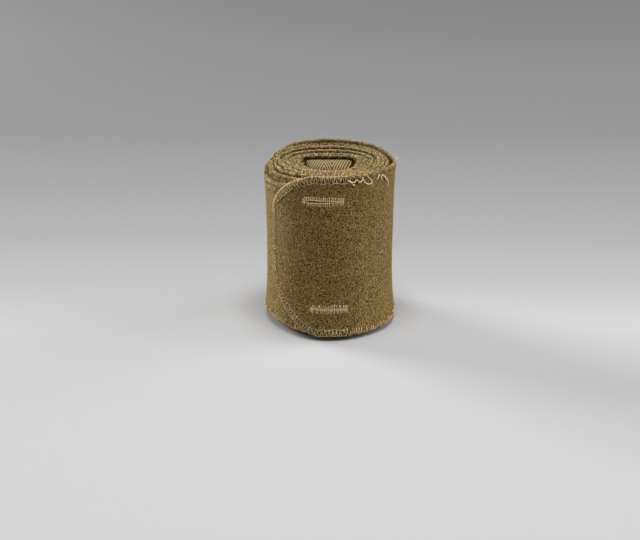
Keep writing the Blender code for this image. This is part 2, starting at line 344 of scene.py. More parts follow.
def placed(name, data):
    """An object in the scene for a mesh, a curve, a camera or a light."""
    holder = bpy.data.objects.new(name, data)
    scene.collection.objects.link(holder)
    return holder


def finished(name, mesh, finish):
    """An object for a finished mesh, which moves with the part."""
    mesh.name = name
    mesh.shade_smooth()
    mesh.materials.append(finish.material)
    piece = placed(name, mesh)
    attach(piece, "root")
    return piece


def give_thickness(piece, thickness, share_by_vertex=None):
    """Makes a sheet a closed shell. The share thins it at chosen vertices."""
    solidify = piece.modifiers.new("Cloth thickness", "SOLIDIFY")
    solidify.thickness, solidify.offset, solidify.use_even_offset = thickness * MM, 0.0, False
    if share_by_vertex is not None:
        group = piece.vertex_groups.new(name="Thickness")
        for share in np.unique(share_by_vertex):
            group.add(np.flatnonzero(share_by_vertex == share).tolist(), float(share), "REPLACE")
        solidify.vertex_group = group.name


def thread_piece(name, finish, strands, radius, sides=6, tapers=None):
    """One piece of many round threads, each along its own points."""
    curve = bpy.data.curves.new("threads", "CURVE")
    curve.dimensions, curve.use_fill_caps = "3D", True
    curve.bevel_depth, curve.bevel_resolution = radius * MM, (sides - 4) // 2
    for k, strand in enumerate(strands):
        spline = curve.splines.new("POLY")
        spline.points.add(len(strand) - 1)
        four = np.column_stack([strand * MM, np.ones(len(strand))])
        spline.points.foreach_set("co", four.astype(np.float32).ravel())
        if tapers is not None:
            spline.points.foreach_set("radius", tapers[k].astype(np.float32))
    holder = placed("threads", curve)
    graph = bpy.context.evaluated_depsgraph_get()
    mesh = bpy.data.meshes.new_from_object(holder.evaluated_get(graph))
    bpy.data.objects.remove(holder)
    bpy.data.curves.remove(curve)
    bm = bmesh.new()
    bm.from_mesh(mesh)
    bmesh.ops.remove_doubles(bm, verts=bm.verts, dist=1e-7)
    bm.to_mesh(mesh)
    bm.free()
    mesh.materials.clear()
    return finished(name, mesh, finish)


# Finishes


class Value:
    """A socket of a finish. Arithmetic on it adds Math nodes."""

    def __init__(self, finish, socket):
        self.finish, self.socket = finish, socket

    def math(self, operation, *values):
        return self.finish.add("Math", dict(enumerate(values)), operation=operation)

    def __add__(self, other):
        return self.math("ADD", self, other)

    def __sub__(self, other):
        return self.math("SUBTRACT", self, other)

    def __rsub__(self, other):
        return self.math("SUBTRACT", other, self)

    def __mul__(self, other):
        return self.math("MULTIPLY", self, other)

    def __truediv__(self, other):
        return self.math("DIVIDE", self, other)

    __radd__ = __add__
    __rmul__ = __mul__

    def rise(self, low, high):
        """Eases from 0 at the low value to 1 at the high one."""
        values = {"Value": self, "From Min": low, "From Max": high}
        return self.finish.add("MapRange", values, interpolation_type="SMOOTHSTEP")


class Finish:
    """A material with one Principled shader, and the method that adds its other nodes."""

    def __init__(self, name, roughness, sheen=0.0, sheen_roughness=0.5, sheen_tint=(1.0, 1.0, 1.0)):
        self.material = bpy.data.materials.new(name)
        self.material.use_nodes = True
        self.tree = self.material.node_tree
        self.shader = self.tree.nodes["Principled BSDF"]
        looks = {
            "Roughness": roughness, "Specular IOR Level": 0.15, "Sheen Weight": sheen,
            "Sheen Roughness": sheen_roughness, "Sheen Tint": (*sheen_tint, 1.0),
        }
        for look, value in looks.items():
            self.shader.inputs[look].default_value = value

    def add(self, kind, values=None, output=0, **settings):
        """Adds a node, sets it, then fills its sockets with numbers or links."""
        node = self.tree.nodes.new(f"ShaderNode{kind}")
        for name, setting in settings.items():
            setattr(node, name, setting)
        for name, value in (values or {}).items():
            if isinstance(value, Value):
                self.tree.links.new(value.socket, node.inputs[name])
            else:
                node.inputs[name].default_value = value
        return Value(self, node.outputs[output])

    def place(self):
        """Object coordinates in millimetres."""
        return self.scaled(self.add("TexCoord", output="Object"), 1.0 / MM)

    def scaled(self, vector, factor):
        return self.add("VectorMath", {0: vector, "Scale": factor}, operation="SCALE")

    def warped(self, vector, size, amount):
        """A vector pushed about by noise."""
        push = self.add("TexNoise", {"Vector": vector, "Scale": 1.0 / size, "Detail": 1.0}, "Color")
        middle = self.add("VectorMath", {0: push, 1: (0.5, 0.5, 0.5)}, operation="SUBTRACT")
        return self.add("VectorMath", {0: vector, 1: self.scaled(middle, amount)}, operation="ADD")

    def noise(self, vector, size, detail=2.0, roughness=0.5):
        values = {"Vector": vector, "Scale": 1.0 / size, "Detail": detail, "Roughness": roughness}
        return self.add("TexNoise", values)

    def cells(self, vector, size):
        """The distance from the middle of irregular cells of a size, in cells."""
        values = {"Vector": vector, "Scale": 1.0 / size, "Smoothness": 0.35}
        return self.add("TexVoronoi", values, "Distance", feature="SMOOTH_F1")

    def ramp(self, value, stops):
        """A colour for each value, through stops of a value and a colour."""
        colour = self.add("ValToRGB", {0: value})
        elements = colour.socket.node.color_ramp.elements
        while len(elements) < len(stops):
            elements.new(0.5)
        for element, (position, tint) in zip(elements, stops):
            element.position = position
            element.color = (*tint, 1.0)
        return colour

    def mixed(self, share, first, second):
        return self.add("Mix", {0: share, 6: first, 7: second}, 2, data_type="RGBA")

    def bump(self, height, depth, strength=1.0):
        return self.add("Bump", {"Height": height, "Distance": depth * MM, "Strength": strength})

    def attribute(self, name):
        return self.add("Attribute", output="Fac", attribute_name=name)

    def show(self, colour, normal=None):
        self.tree.links.new(colour.socket, self.shader.inputs["Base Color"])
        if normal is not None:
            self.tree.links.new(normal.socket, self.shader.inputs["Normal"])


# The wool's tones from the bottom of its relief to the top: the pit colour is painted shade, and the light
# one is partly painted highlight on the crimp tops.
WOOL_PAINTED_PIT_SHADE = (0.012, 0.006, 0.001)
WOOL_DARK = (0.052, 0.028, 0.005)
WOOL_MIDDLE = (0.104, 0.060, 0.012)
WOOL_LIGHT = (0.580, 0.392, 0.126)


def wool_crepe():
    """Pebbled khaki wool: crimped yarn with painted highlight on its crimps and painted shade in its small
    pits, over its own mottle.
    """
    finish = Finish("Wool crepe", 0.93, sheen=0.14, sheen_roughness=0.40, sheen_tint=(1.0, 0.90, 0.62))
    where = finish.place()
    bent = finish.warped(where, 1.7, 0.5)
    pit = 1.0 - finish.cells(bent, 1.08).rise(0.10, 0.44)
    deep = finish.noise(where, 2.6, 1.0).rise(0.34, 0.60)
    crimp = finish.noise(bent, 0.52, 2.0, 0.55)
    fibre = finish.noise(where, 0.15, 2.0, 0.6)
    relief = crimp * 1.70 + fibre * 0.40 - pit * (deep * 0.24 + 0.44) - 0.42
    # The colour follows the relief: painted shade in the pits, darker in the deeper pits, and painted
    # highlight on the crimp tops, over the wool's own mottle.
    stops = [(0.10, WOOL_PAINTED_PIT_SHADE), (0.34, WOOL_DARK), (0.54, WOOL_MIDDLE), (0.82, WOOL_LIGHT)]
    colour = finish.ramp(relief, stops)
    patch = finish.noise(where, 11.0).rise(0.30, 0.70)
    colour = finish.mixed(patch * 0.18, colour, (0.190, 0.105, 0.028, 1.0))
    # Painted shade: the cloth is darkened towards the pit colour where the painted shade attribute says shade
    # falls.
    colour = finish.mixed(finish.attribute("painted_shade"), colour, (*WOOL_PAINTED_PIT_SHADE, 1.0))
    finish.show(colour, finish.bump(relief, 0.75))
    return finish


def spun_yarn(name, dark, light, uneven=1.4, darkest=0.38):
    """Spun yarn or thread: uneven in tone along its length, with fine fibres."""
    finish = Finish(name, 0.85, sheen=0.05, sheen_tint=(1.0, 0.85, 0.60))
    where = finish.place()
    tone = finish.noise(where, uneven, 3.0, 0.65).rise(darkest, 0.62)
    fibre = finish.noise(where, 0.10, 2.0, 0.6)
    colour = finish.mixed(tone * 0.75 + fibre * 0.25, (*dark, 1.0), (*light, 1.0))
    finish.show(colour, finish.bump(fibre, 0.05, 0.8))
    return finish


TAPE_BANDS = {"left": -2.9, "right": 1.7}  # where the herringbone turns, from the middle of the tape
TWILL_ACROSS = 1.42
TWILL_RISE = 2.5


def herringbone(across, along):
    """The height of the twill ridges, from 0 to 1, in three bands that lean to the right, left and right."""
    left, right = TAPE_BANDS["left"], TAPE_BANDS["right"]
    leaning_back = np.where(across < right, 2 * left - across, across + 2 * (left - right))
    folded = np.where(across < left, across, leaning_back)
    phase = folded / TWILL_ACROSS - along / (TWILL_ACROSS * TWILL_RISE)
    return 0.5 + 0.5 * np.cos(2 * pi * phase)


def cotton_herringbone():
    """Olive khaki cotton tape, whose twill pattern is drawn as painted light on its ridges and painted shade
    in its furrows.
    """
    finish = Finish("Cotton herringbone", 0.85, sheen=0.05, sheen_tint=(1.0, 0.95, 0.8))
    where = finish.place()
    fibre = finish.noise(where, 0.16, 3.0, 0.6)
    worn = finish.noise(where, 6.0).rise(0.35, 0.7)
    tone = finish.attribute("ridge") * 0.95 + fibre * 0.40 - 0.20
    # From the ridge height: painted shade in the furrows and painted light on the ridges.
    stops = [(0.20, (0.006, 0.004, 0.001)), (0.50, (0.034, 0.024, 0.008)), (0.90, (0.270, 0.203, 0.086))]
    colour = finish.ramp(tone, stops)
    colour = finish.mixed(worn * 0.15, colour, (0.20, 0.15, 0.06, 1.0))
    finish.show(colour, finish.bump(fibre, 0.08, 0.8))
    return finish


# The strip of cloth


def rows_up_strip(extra):
    """Levels of the mesh rows, close together at the edges, with the extra ones and rows in between."""
    rim = [*RIM_ROWS, 2.6, 3.7, 4.3, 4.9, 6.5]
    levels = [*rim, *(STRIP_WIDTH - level for level in rim), *extra]
    levels += [level for level in np.arange(9.0, 87.0, 2.6) if min(abs(level - k) for k in levels) > 1.1]
    return sorted(levels)


def rim_share(distance_from_edge):
    """The share of the full thickness at a distance from a cut edge, in steps."""
    share = np.full(len(distance_from_edge), 1.0)
    for reach, value in sorted(RIM_ROWS.items(), reverse=True):
        share[distance_from_edge <= reach + 0.08] = value
    return share


class EdgeLine:
    """A cut edge of the strip, walked with the cloth on its right."""

    def __init__(self, along, height, turn_from):
        self.along, self.height, self.turn_from = along, height, turn_from
        steps = np.hypot(np.diff(along), np.diff(height))
        self.lengths = np.concatenate([[0.0], np.cumsum(steps)])
        self.total = float(self.lengths[-1])

    def at(self, length):
        columns = [np.interp(length, self.lengths, column) for column in (self.along, self.height)]
        return np.stack(columns, axis=-1)

    def places(self, length, inwards, out):
        """Places on the wound strip, moved into the cloth from its edge and outwards from its middle."""
        ahead = self.at(length + 0.4) - self.at(length - 0.4)
        ahead /= np.maximum(np.linalg.norm(ahead, axis=-1, keepdims=True), 1e-9)
        at = self.at(length)
        along = at[..., 0] + ahead[..., 1] * inwards
        return on_cloth(self.turn_from(along), at[..., 1] - ahead[..., 0] * inwards, out)


def end_edge():
    """The cut edge round the strip's outer end: along the bottom to it, up it, and back along the top."""
    longest = BOTTOM_CORNER["length"]
    distance = YARN_REACH + (longest - YARN_REACH) * np.linspace(0.0, 1.0, 160) ** 2
    distance = np.concatenate([distance, np.arange(longest + 1.0, OVERLOCK_END, 1.0), [OVERLOCK_END]])
    bottom, top = edge_heights(distance)
    end = np.linspace(bottom[0], top[0], 40)[1:-1]
    heights = np.concatenate([bottom[::-1], end, top])
    distances = np.concatenate([distance[::-1], np.full(len(end), distance[0]), distance])
    return EdgeLine(distances, heights, turn_of)


def selvedge(first_turn, last_turn, at_top):
    """A stretch of one of the strip's long edges, in lengths along the winding."""
    turns = np.arange(first_turn, last_turn - 0.004, 0.004)
    lengths = WINDING.length_at(turns)
    bottom, top = long_edge_heights(turns)
    line = (lengths, top) if at_top else (lengths[::-1], bottom[::-1])
    return EdgeLine(*line, WINDING.turn_at)


def edge_distance(distance, height, edge):
    """How far each place on the cloth lies from the edge round the strip's end."""
    nearest = np.full(len(distance), FAR)
    for along, up in zip(edge.along[:-1:2], edge.height[:-1:2]):
        nearest = np.minimum(nearest, np.hypot(distance - along, height - up))
    return nearest


def slit_gape(distance, slit):
    """Half the height of a slit: it gapes near the strip's end and closes away from it."""
    share = np.clip((distance - slit["start"]) / (slit["stop"] - slit["start"]), 0.0, 1.0)
    lens = np.sqrt(np.maximum(0.0, 1.0 - (2 * share - 1) ** 4))
    gaping = slit["closed"] + (slit["gape"] - slit["closed"]) * (1.0 - share) ** 1.3
    return np.maximum(0.08, gaping * lens)


def outer_turn_columns():
    longest, last = BOTTOM_CORNER["length"], distance_of(FIRST_SEAM)
    quarter = np.linspace(0.0, pi / 2, 30)[:-1]
    columns = [*(YARN_REACH + (longest - YARN_REACH) * (1.0 - np.cos(quarter)))]
    columns += [*np.arange(longest, last - 0.5, 1.5), last]
    slit_ends = [slit[side] for slit in SLITS for side in ("start", "stop")]
    columns = [column for column in columns if all(abs(column - end) > 0.5 for end in slit_ends)]
    return sorted(columns + slit_ends)


def sewn_relief(from_edge):
    """The needle line draws the cloth in, and the cloth swells a little on either side of it."""
    drawn = np.exp(-(((from_edge - NEEDLE_DEPTH) / 0.55) ** 2))
    swollen = np.exp(-(((from_edge - NEEDLE_DEPTH / 2) / 1.3) ** 2))
    return 0.10 * swollen - 0.16 * drawn


def painted_shade_under_sewing(from_end, from_selvedge, deepest, reach):
    """Painted shade: how dark the cloth is painted between the overlock's threads, and between the selvedge's
    loops near the wound rims.
    """
    overlock = OVERLOCK_PAINTED_SHADE * np.clip((NEEDLE_DEPTH + 0.3 - from_end) / 0.6, 0.0, 1.0)
    loops = deepest * np.clip((reach - from_selvedge) / (reach - 1.6), 0.0, 1.0)
    return np.maximum(overlock, loops)


def cloth_piece(name, finish, mesh, along, level, painted_shade, nodes):
    """One sheet of the wound cloth, which replaces the solids of its nodes."""
    # The painted shade darkens the cloth where shade falls under the sewing and between the turns.
    add_value(mesh, "painted_shade", painted_shade)
    add_flat_map(mesh, along, level)
    piece = finished(name, mesh, finish)
    from_rim = np.minimum(np.minimum(level, STRIP_WIDTH - level), along)
    give_thickness(piece, CLOTH_THICKNESS, rim_share(from_rim))
    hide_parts(*nodes)
    return piece


def make_outer_turn(finish, edge):
    columns = outer_turn_columns()
    beside = [slit["level"] + side * reach for slit in SLITS for side in (-1, 1) for reach in SLIT_ROWS]
    rows = rows_up_strip(beside)

    def in_slit(distances, levels):
        return any(
            slit["start"] < np.mean(distances) < slit["stop"] and min(levels) < slit["level"] < max(levels)
            for slit in SLITS
        )

    kept = {}

    def place(distance, level):
        bottom, top = edge_heights(distance)
        height = bottom + (top - bottom) * level / STRIP_WIDTH
        for slit in SLITS:
            for side in (-1, 1):
                on_lip = np.isclose(level, slit["level"] + side * SLIT_ROWS[0])
                on_lip &= (distance >= slit["start"]) & (distance <= slit["stop"])
                lip = slit["height"] + side * slit_gape(distance, slit)
                height = np.where(on_lip, lip, height)
        from_end = edge_distance(distance, height, edge)
        kept["edges"] = from_end, np.minimum(height - bottom, top - height)
        return on_cloth(turn_of(distance), height, sewn_relief(from_end))

    grid = carried_grid(columns, rows, place, in_slit)
    # Painted shade under the overlock and beside the selvedges.
    painted_shade = painted_shade_under_sewing(*kept["edges"], *OUTER_EDGE_PAINTED_SHADE)
    return cloth_piece("outer_turn", finish, *grid, painted_shade, ["end_turn"])


def make_inner_turns(finish):
    columns = np.linspace(WINDING.length_at(FIRST_SEAM) + 0.05, STRIP_LENGTH, 640)
    rim = [*RIM_ROWS, 2.6, 4.3]
    rows = sorted(rim + [9.0, 28.0, 48.0, 67.0, 80.0, 86.0] + [STRIP_WIDTH - level for level in rim])

    def place(length, level):
        turn = WINDING.turn_at(length)
        bottom, top = long_edge_heights(turn)
        return on_cloth(turn, bottom + (top - bottom) * level / STRIP_WIDTH)

    mesh, length, level = carried_grid(columns, rows, place)
    # Painted shade near the rims, where shade falls between the wound turns.
    painted_shade = painted_shade_under_sewing(FAR, np.minimum(level, STRIP_WIDTH - level), *INNER_EDGE_PAINTED_SHADE)
    return cloth_piece("inner_turns", finish, mesh, length, level, painted_shade, INNER_NODES)


# Sewing and edges


def half_cloth(inwards):
    """Half the cloth's thickness at a distance from its cut edge."""
    return HALF_CLOTH * np.interp(inwards, list(RIM_ROWS), list(RIM_ROWS.values()))


def wander(length, reach, amount):
    """A slow random drift along an edge, which changes over the reach."""
    knots = rng.normal(0.0, amount, int(np.max(length) / reach) + 3)
    return np.interp(np.maximum(length, 0.0) / reach, np.arange(len(knots)), knots)


def there_and_back(*steps):
    """A stitch's steps, with those between its start and its middle again in reverse."""
    return [*steps, *((1.0 - along, *rest) for along, *rest in steps[::-1] if 0.0 < along < 0.5)]


# Each step of a stitch: along it, into the cloth as a share of the depth (or past the edge, as minus a share
# of the crest), the side of the cloth from 1 for the outer face to -1 for the inner one, and the lift off it
LOOPER_STEPS = there_and_back(
    (0.00, 1.00, 1.0, 0.06), (0.10, 0.74, 1.0, 0.17), (0.22, 0.40, 1.0, 0.20),
    (0.34, 0.06, 1.0, 0.20), (0.40, -0.60, 0.4, 0.10), (0.50, -1.00, 0.0, 0.05),
)
NEEDLE_STEPS = there_and_back(
    (0.10, 1.00, 1.0, -0.20), (0.26, 0.95, 1.0, 0.12), (0.50, 0.90, 1.0, 0.20),
)
SELVEDGE_STEPS = there_and_back(
    (0.00, 1.00, 1.0, 0.02), (0.11, 0.55, 1.0, 0.22), (0.19, 0.05, 1.0, 0.24),
    (0.30, -1.00, 0.0, 0.00), (0.41, 0.05, -1.0, 0.24), (0.50, 0.30, -1.0, 0.14),
)

# Each kind of edge sewing: its steps, pitch, depth, crest past the edge, unevenness and drift
EDGE_SEWING = {
    "looper": (LOOPER_STEPS, STITCH_PITCH, NEEDLE_DEPTH, 0.5, 1.1, 0.0),
    "needle": (NEEDLE_STEPS, STITCH_PITCH, NEEDLE_DEPTH, 0.3, 0.5, 0.0),
    "outer_top": (SELVEDGE_STEPS, LOOP_PITCH, 2.2, 0.40, 1.2, 0.12),
    "inner_top": (SELVEDGE_STEPS, LOOP_PITCH, 1.3, 0.50, 1.5, 0.26),
    "outer_base": (SELVEDGE_STEPS, LOOP_PITCH * 1.5, 2.9, 0.60, 2.2, 0.14),
    "inner_base": (SELVEDGE_STEPS[::2], LOOP_PITCH * 1.5, 1.4, 0.20, 0.8, 0.10),
}


def edge_stitches(edge, kind, face=1):
    """One thread that runs along an edge, through the steps once for each stitch."""
    steps, pitch, depth, crest, uneven, drift = EDGE_SEWING[kind]
    count = int(edge.total / pitch)
    starts = np.arange(count) * pitch + rng.normal(0.0, 0.10 * uneven, count)
    depths = depth * np.clip(1.0 + rng.normal(0.0, 0.14 * uneven, count), 0.5, 1.5)
    crests = crest * np.clip(1.0 + rng.normal(0.0, 0.30 * uneven, count), 0.2, 1.6)
    aside = wander(starts, 2.2, drift)
    places = []
    for along, into, side, lift in steps:
        inwards = into * depths if into > 0 else into * crests
        out = side * (half_cloth(np.maximum(inwards, 0.0)) + lift) * face
        places.append(edge.places(starts + along * pitch, inwards, out + aside))
    return np.stack(places, axis=1).reshape(-1, 3)


def edge_cord(edge, share):
    """One of the two threads that lock the overlock's loops into a cord along the very edge."""
    length = np.arange(0.4, edge.total - 0.4, STITCH_PITCH / 10)
    turned = 2 * pi * (2 * length / STITCH_PITCH + share)
    inwards = -0.20 - 0.15 * np.cos(turned) + wander(length, 1.3, 0.06)
    return edge.places(length, inwards, 0.34 + 0.15 * np.sin(turned) + wander(length, 1.3, 0.05))


def make_overlock(finish, cord_finish, edge):
    """The overlock sewing round the strip's outer end."""
    kinds = ("looper", "needle")
    loops, needle = ([edge_stitches(edge, kind, face) for face in (1, -1)] for kind in kinds)
    cord = [edge_cord(edge, share) for share in (0.0, 0.5)]
    thicker = [np.interp(strand[:, 2], *LOOPER_SWELLING) for strand in loops]
    return [
        thread_piece("overlock_loops", finish, loops, LOOPER_THREAD, tapers=thicker),
        thread_piece("overlock_needle_line", cord_finish, needle, NEEDLE_THREAD),
        thread_piece("overlock_edge_cord", cord_finish, cord, CORD_THREAD),
    ]


def make_selvedges(finish, inner_finish):
    """The yarn loops along the strip's two long edges, between the overlock sewing and the inner end."""
    stretches = {"outer": (turn_of(OVERLOCK_END), FIRST_SEAM), "inner": (FIRST_SEAM, LAST_TURN)}
    loops = {}
    for edge in ("top", "base"):
        for turns, stretch in stretches.items():
            kind = f"{turns}_{edge}"
            loops[kind] = edge_stitches(selvedge(*stretch, edge == "top"), kind)

    def piece(kind, look, share_of_yarn, sides):
        return thread_piece(f"selvedge_of_{kind}", look, [loops[kind]], YARN * share_of_yarn, sides)

    # The outer base's loops take the first finish, a yarn painted lighter as painted light.
    outer = [piece("outer_top", inner_finish, 0.85, 6), piece("outer_base", finish, 1.10, 6)]
    return outer, [piece(kind, inner_finish, 1.0, 4) for kind in ("inner_top", "inner_base")]


def curl_piece(name, finish, length, span, bend, heading, height_and_out):
    """Many bent curls of yarn, each through places at shares of its span from -1 to 1."""
    steps = []
    for share in np.linspace(-1.0, 1.0, 6):
        side = bend * (1.0 - share**2)
        along = span * share * np.cos(heading) - side * np.sin(heading)
        across = span * share * np.sin(heading) + side * np.cos(heading)
        steps.append(on_cloth(WINDING.turn_at(length + along), *height_and_out(share, across)))
    return thread_piece(name, finish, np.stack(steps, axis=1), CURL_YARN, sides=4)


def make_rim_curls(finish):
    """Loose curls of yarn over the top of the wound turns, which lie every way."""
    count = RIM_CURLS["count"]
    stretches = [(count, WINDING.length_at(RIM_CURLS["from"]), STRIP_LENGTH - 2.0)]
    stretches += [(count // 8, *WINDING.length_at(zone["extra"])) for zone in (TUCKED_CURLS, BACK_CURLS)]
    length = np.concatenate([rng.uniform(*stretch, size) for size, *stretch in stretches])
    at_front = np.clip(np.cos(angle_of(WINDING.turn_at(length))), 0.0, 1.0)
    length = length[rng.random(len(length)) > RIM_CURLS["thinned"] * at_front]
    count = len(length)
    turn = WINDING.turn_at(length)
    top = long_edge_heights(turn)[1]

    def reach(zone):
        return np.interp(turn, zone["fades"], (0.0, zone["reach"], zone["reach"], 0.0))

    raised = reach(BACK_CURLS) * rng.random(count)
    at_sides, at_back = np.sin(angle_of(turn)) ** 8, np.clip(-np.cos(angle_of(turn)), 0.0, 1.0) ** 2
    into_core = CORE_CURLS["sides"] * at_sides + CORE_CURLS["back"] * at_back
    into_core *= np.interp(turn, CORE_CURLS["fades"], (0.0, 1.0))
    aside = rng.normal(0.0, RIM_CURLS["aside"], count) * (turn > 1.0)
    aside += rng.random(count) * (BACK_CURLS["lean"] * raised)
    aside -= rng.random(count) * (reach(TUCKED_CURLS) + into_core)
    heading = rng.uniform(0.0, 2 * pi, count)
    span = rng.uniform(*RIM_CURLS["span"], count)
    crest = rng.uniform(*RIM_CURLS["crest"], count)
    bend = rng.normal(0.0, CURL_BEND, count)
    sunk = rng.uniform(*RIM_CURLS["sunk"], count)
    span[turn < 1.0] *= RIM_CURLS["lap_span"]

    def height_and_out(share, across):
        return top + (raised + crest - (crest + sunk) * np.abs(share) ** 2.4), aside + across

    return curl_piece("rim_curls", finish, length, span, bend, heading, height_and_out)


def make_face_curls(finish):
    """Curls of yarn on the outer face of the outermost turns, below their rims at the left."""
    count = FACE_CURLS["count"]
    turn = np.concatenate([rng.uniform(*INNER_FACE, count), rng.uniform(*LAP_FACE, count // 3)])
    count = len(turn)
    on_inner = turn > FIRST_SEAM
    top = long_edge_heights(turn)[1]
    next_rim = np.where(on_inner, long_edge_heights(turn - 1.0)[1], top - FACE_CURLS["lap_depth"])
    lowest = np.minimum(next_rim, top) - 1.0
    height = lowest + (top + 0.4 - lowest) * rng.random(count)
    heading, bend = rng.uniform(0.0, 2 * pi, count), rng.normal(0.0, CURL_BEND, count)
    span = rng.uniform(*FACE_CURLS["span"], count)
    crest = rng.uniform(*FACE_CURLS["crest"], count) * np.where(on_inner, 1.0, FACE_CURLS["lap_crest"])

    def height_and_out(share, up):
        return height + up, HALF_CLOTH - 0.15 + crest * (1.0 - share**2)

    return curl_piece("face_curls", finish, WINDING.length_at(turn), span, bend, heading, height_and_out)


def make_wool_fuzz(finish):
    """Short fibres that stand off the outer face of the roll."""
    count = FUZZ["count"]
    distance = rng.uniform(2.0, distance_of(1.10), count)
    height = rng.uniform(3.5, STRIP_WIDTH + 2.4, count)
    bottom, top = edge_heights(distance)
    height = np.clip(height, bottom + 0.5, top - 0.2)
    heading, curl = rng.uniform(0.0, 2 * pi, count), rng.normal(0.0, FUZZ["curl"], count)
    long, rise = rng.uniform(*FUZZ["length"], count), rng.uniform(*FUZZ["rise"], count)
    steps = []
    for share in (0.0, 0.35, 0.7, 1.0):
        turned = heading + curl * share
        along, up = long * share * np.cos(turned), long * share * np.sin(turned)
        out = HALF_CLOTH - 0.05 + rise * np.sin(share * 2.0)
        steps.append(on_cloth(turn_of(distance + along), height + up, out))
    return thread_piece("wool_fuzz", finish, np.stack(steps, axis=1), FIBRE, sides=4)


# Loose ends of the overlock threads at the top edge: distance from the strip's end, level up the strip, and
# lift off the cloth
LOOSE_THREADS = (
    ((49.0, 92.7, 0.2), (49.6, 92.1, 0.3), (50.3, 91.4, 0.5), (51.1, 90.8, 0.4), (51.8, 90.0, 0.5)),
    ((51.6, 90.2, 0.4), (52.1, 89.5, 0.7), (52.5, 89.9, 0.8), (52.0, 90.1, 0.6)),
    ((49.3, 92.5, 0.1), (51.0, 91.6, 0.4), (52.5, 91.4, 0.5), (53.9, 92.5, 0.3), (55.4, 91.1, 0.6),
     (56.6, 91.8, 0.8), (57.0, 93.0, 0.5), (56.7, 93.4, 0.7), (57.4, 93.2, 0.9)),
    ((57.2, 93.3, 0.6), (58.4, 90.9, 0.3), (59.4, 89.9, 0.6), (61.1, 89.2, 0.9), (62.4, 89.6, 1.0),
     (62.8, 90.7, 0.9), (61.9, 91.8, 0.7), (60.7, 93.1, 0.4), (60.2, 93.9, 0.2)),
    ((66.4, 90.9, 0.6), (66.9, 91.8, 0.7), (67.6, 92.5, 0.5), (68.7, 92.9, 0.2)),
    ((70.2, 89.4, 0.7), (69.5, 90.6, 0.8), (69.6, 91.7, 0.7), (70.7, 92.4, 0.5), (72.1, 91.2, 0.7),
     (74.2, 89.0, 1.0), (75.6, 87.2, 1.1), (76.0, 85.8, 0.9), (75.7, 83.9, 0.5)),
    ((98.5, 93.2, 0.6), (99.0, 93.8, 1.1), (99.4, 93.3, 1.3), (99.2, 92.6, 0.9)),
)


def make_loose_threads(finish):
    strands = []
    for row in LOOSE_THREADS:
        points = smooth_line(np.array(row), LOOSE_THREAD)
        out = HALF_CLOTH + points[:, 2]
        strands.append(on_cloth(turn_of(points[:, 0]), points[:, 1] + OUTER_LIFT, out))
    return thread_piece("loose_threads", finish, strands, LOOSE_THREAD)


def lip_stitch(along, side, slit, lift):
    """One buttonhole stitch, from inside the slit over its lip and out over the cloth."""
    reach = STITCH_REACH * (1.0 + rng.normal(0.0, 0.12)) - 0.3
    inwards = np.array((-0.35, -0.12, 0.2, 0.8, 0.55 * reach, 0.85 * reach, reach))
    lifts = np.array((-0.60, 0.02, 0.30, 0.28, 0.25, 0.18, -0.12)) + lift * np.array((0, 0, 1, 1, 1, 1, 0))
    lip = slit["height"] + side * slit_gape(along, slit)
    distance = along + rng.normal(0.04, 0.12) * inwards
    return on_cloth(turn_of(distance), lip + side * inwards, HALF_CLOTH + lifts)


def bar_stitches(slit, end):
    """The upright bar across one end of a slit."""
    past, low, high = BARS[end]
    strands = []
    for aside in (-0.30, 0.20):
        wave = np.linspace(0.0, 1.0, 7)
        height = slit["height"] + low + (high - low) * wave + rng.normal(0.0, 0.08)
        lift = 0.24 * np.sin(pi * np.clip(wave, 0.02, 0.98)) ** 0.5 - 0.05
        distance = slit[end] + past + aside + rng.normal(0.0, 0.06) + 0.1 * np.sin(3.0 * wave)
        strands.append(on_cloth(turn_of(distance), height, HALF_CLOTH + lift))
    return strands


def lip_cord(slit, side):
    """The knotted cord along one lip of a slit."""
    along = np.arange(slit["start"] - 0.3, slit["stop"] + 0.4, BUTTONHOLE_PITCH / 6)
    wave = np.sin(2 * pi * along / BUTTONHOLE_PITCH)
    lip = slit["height"] + side * (slit_gape(along, slit) + 0.16 + 0.07 * wave)
    return on_cloth(turn_of(along), lip, HALF_CLOTH + 0.12 + 0.08 * wave)


def make_buttonholes(finish):
    pieces = []
    for name, slit in zip(("upper", "lower"), SLITS):
        stitches = [
            lip_stitch(along + rng.normal(0.0, 0.16), side, slit, rng.uniform(0, 0.14))
            for side in (1, -1)
            for along in np.arange(slit["start"] - 0.1, slit["stop"] + 0.3, BUTTONHOLE_PITCH)
        ]
        for end in BARS:
            stitches += bar_stitches(slit, end)
        cords = [lip_cord(slit, side) for side in (1, -1)]
        pieces.append(thread_piece(f"{name}_buttonhole_stitches", finish, stitches, BUTTONHOLE_THREAD))
        pieces.append(thread_piece(f"{name}_buttonhole_cord", finish, cords, PURL_THREAD))
    return pieces


# The tie tape


def tape_line():
    """The tape's folds from the side, as layers counted from the front and heights."""
    last = TAPE["layers"] - 1
    foot = TAPE["foot"] + 0.5

    def top(layer):
        share = layer / last
        crown = TAPE_CROWN * 4 * share * (1.0 - share)
        return TAPE_FRONT["top"] + (TAPE_BACK["top"] - TAPE_FRONT["top"]) * share + crown - 0.5

    over = [last * k / TAPE_OVER_TOP for k in range(1, TAPE_OVER_TOP)]
    line = [(0.0, foot), (0.0, top(0.0) - 2.0), *((layer, top(layer)) for layer in over)]
    line.append((last, top(last) - 1.6))
    for layer in range(last, 1, -1):
        folds_down = (last - layer) % 2 == 0
        fold_end, way = (foot + 0.7, -1) if folds_down else (top(layer - 0.5) - 2.4, 1)
        line += [(layer, fold_end), (layer - 0.5, fold_end + 0.7 * way), (layer - 1, fold_end)]
    return np.array(line + [(1.0, foot)])


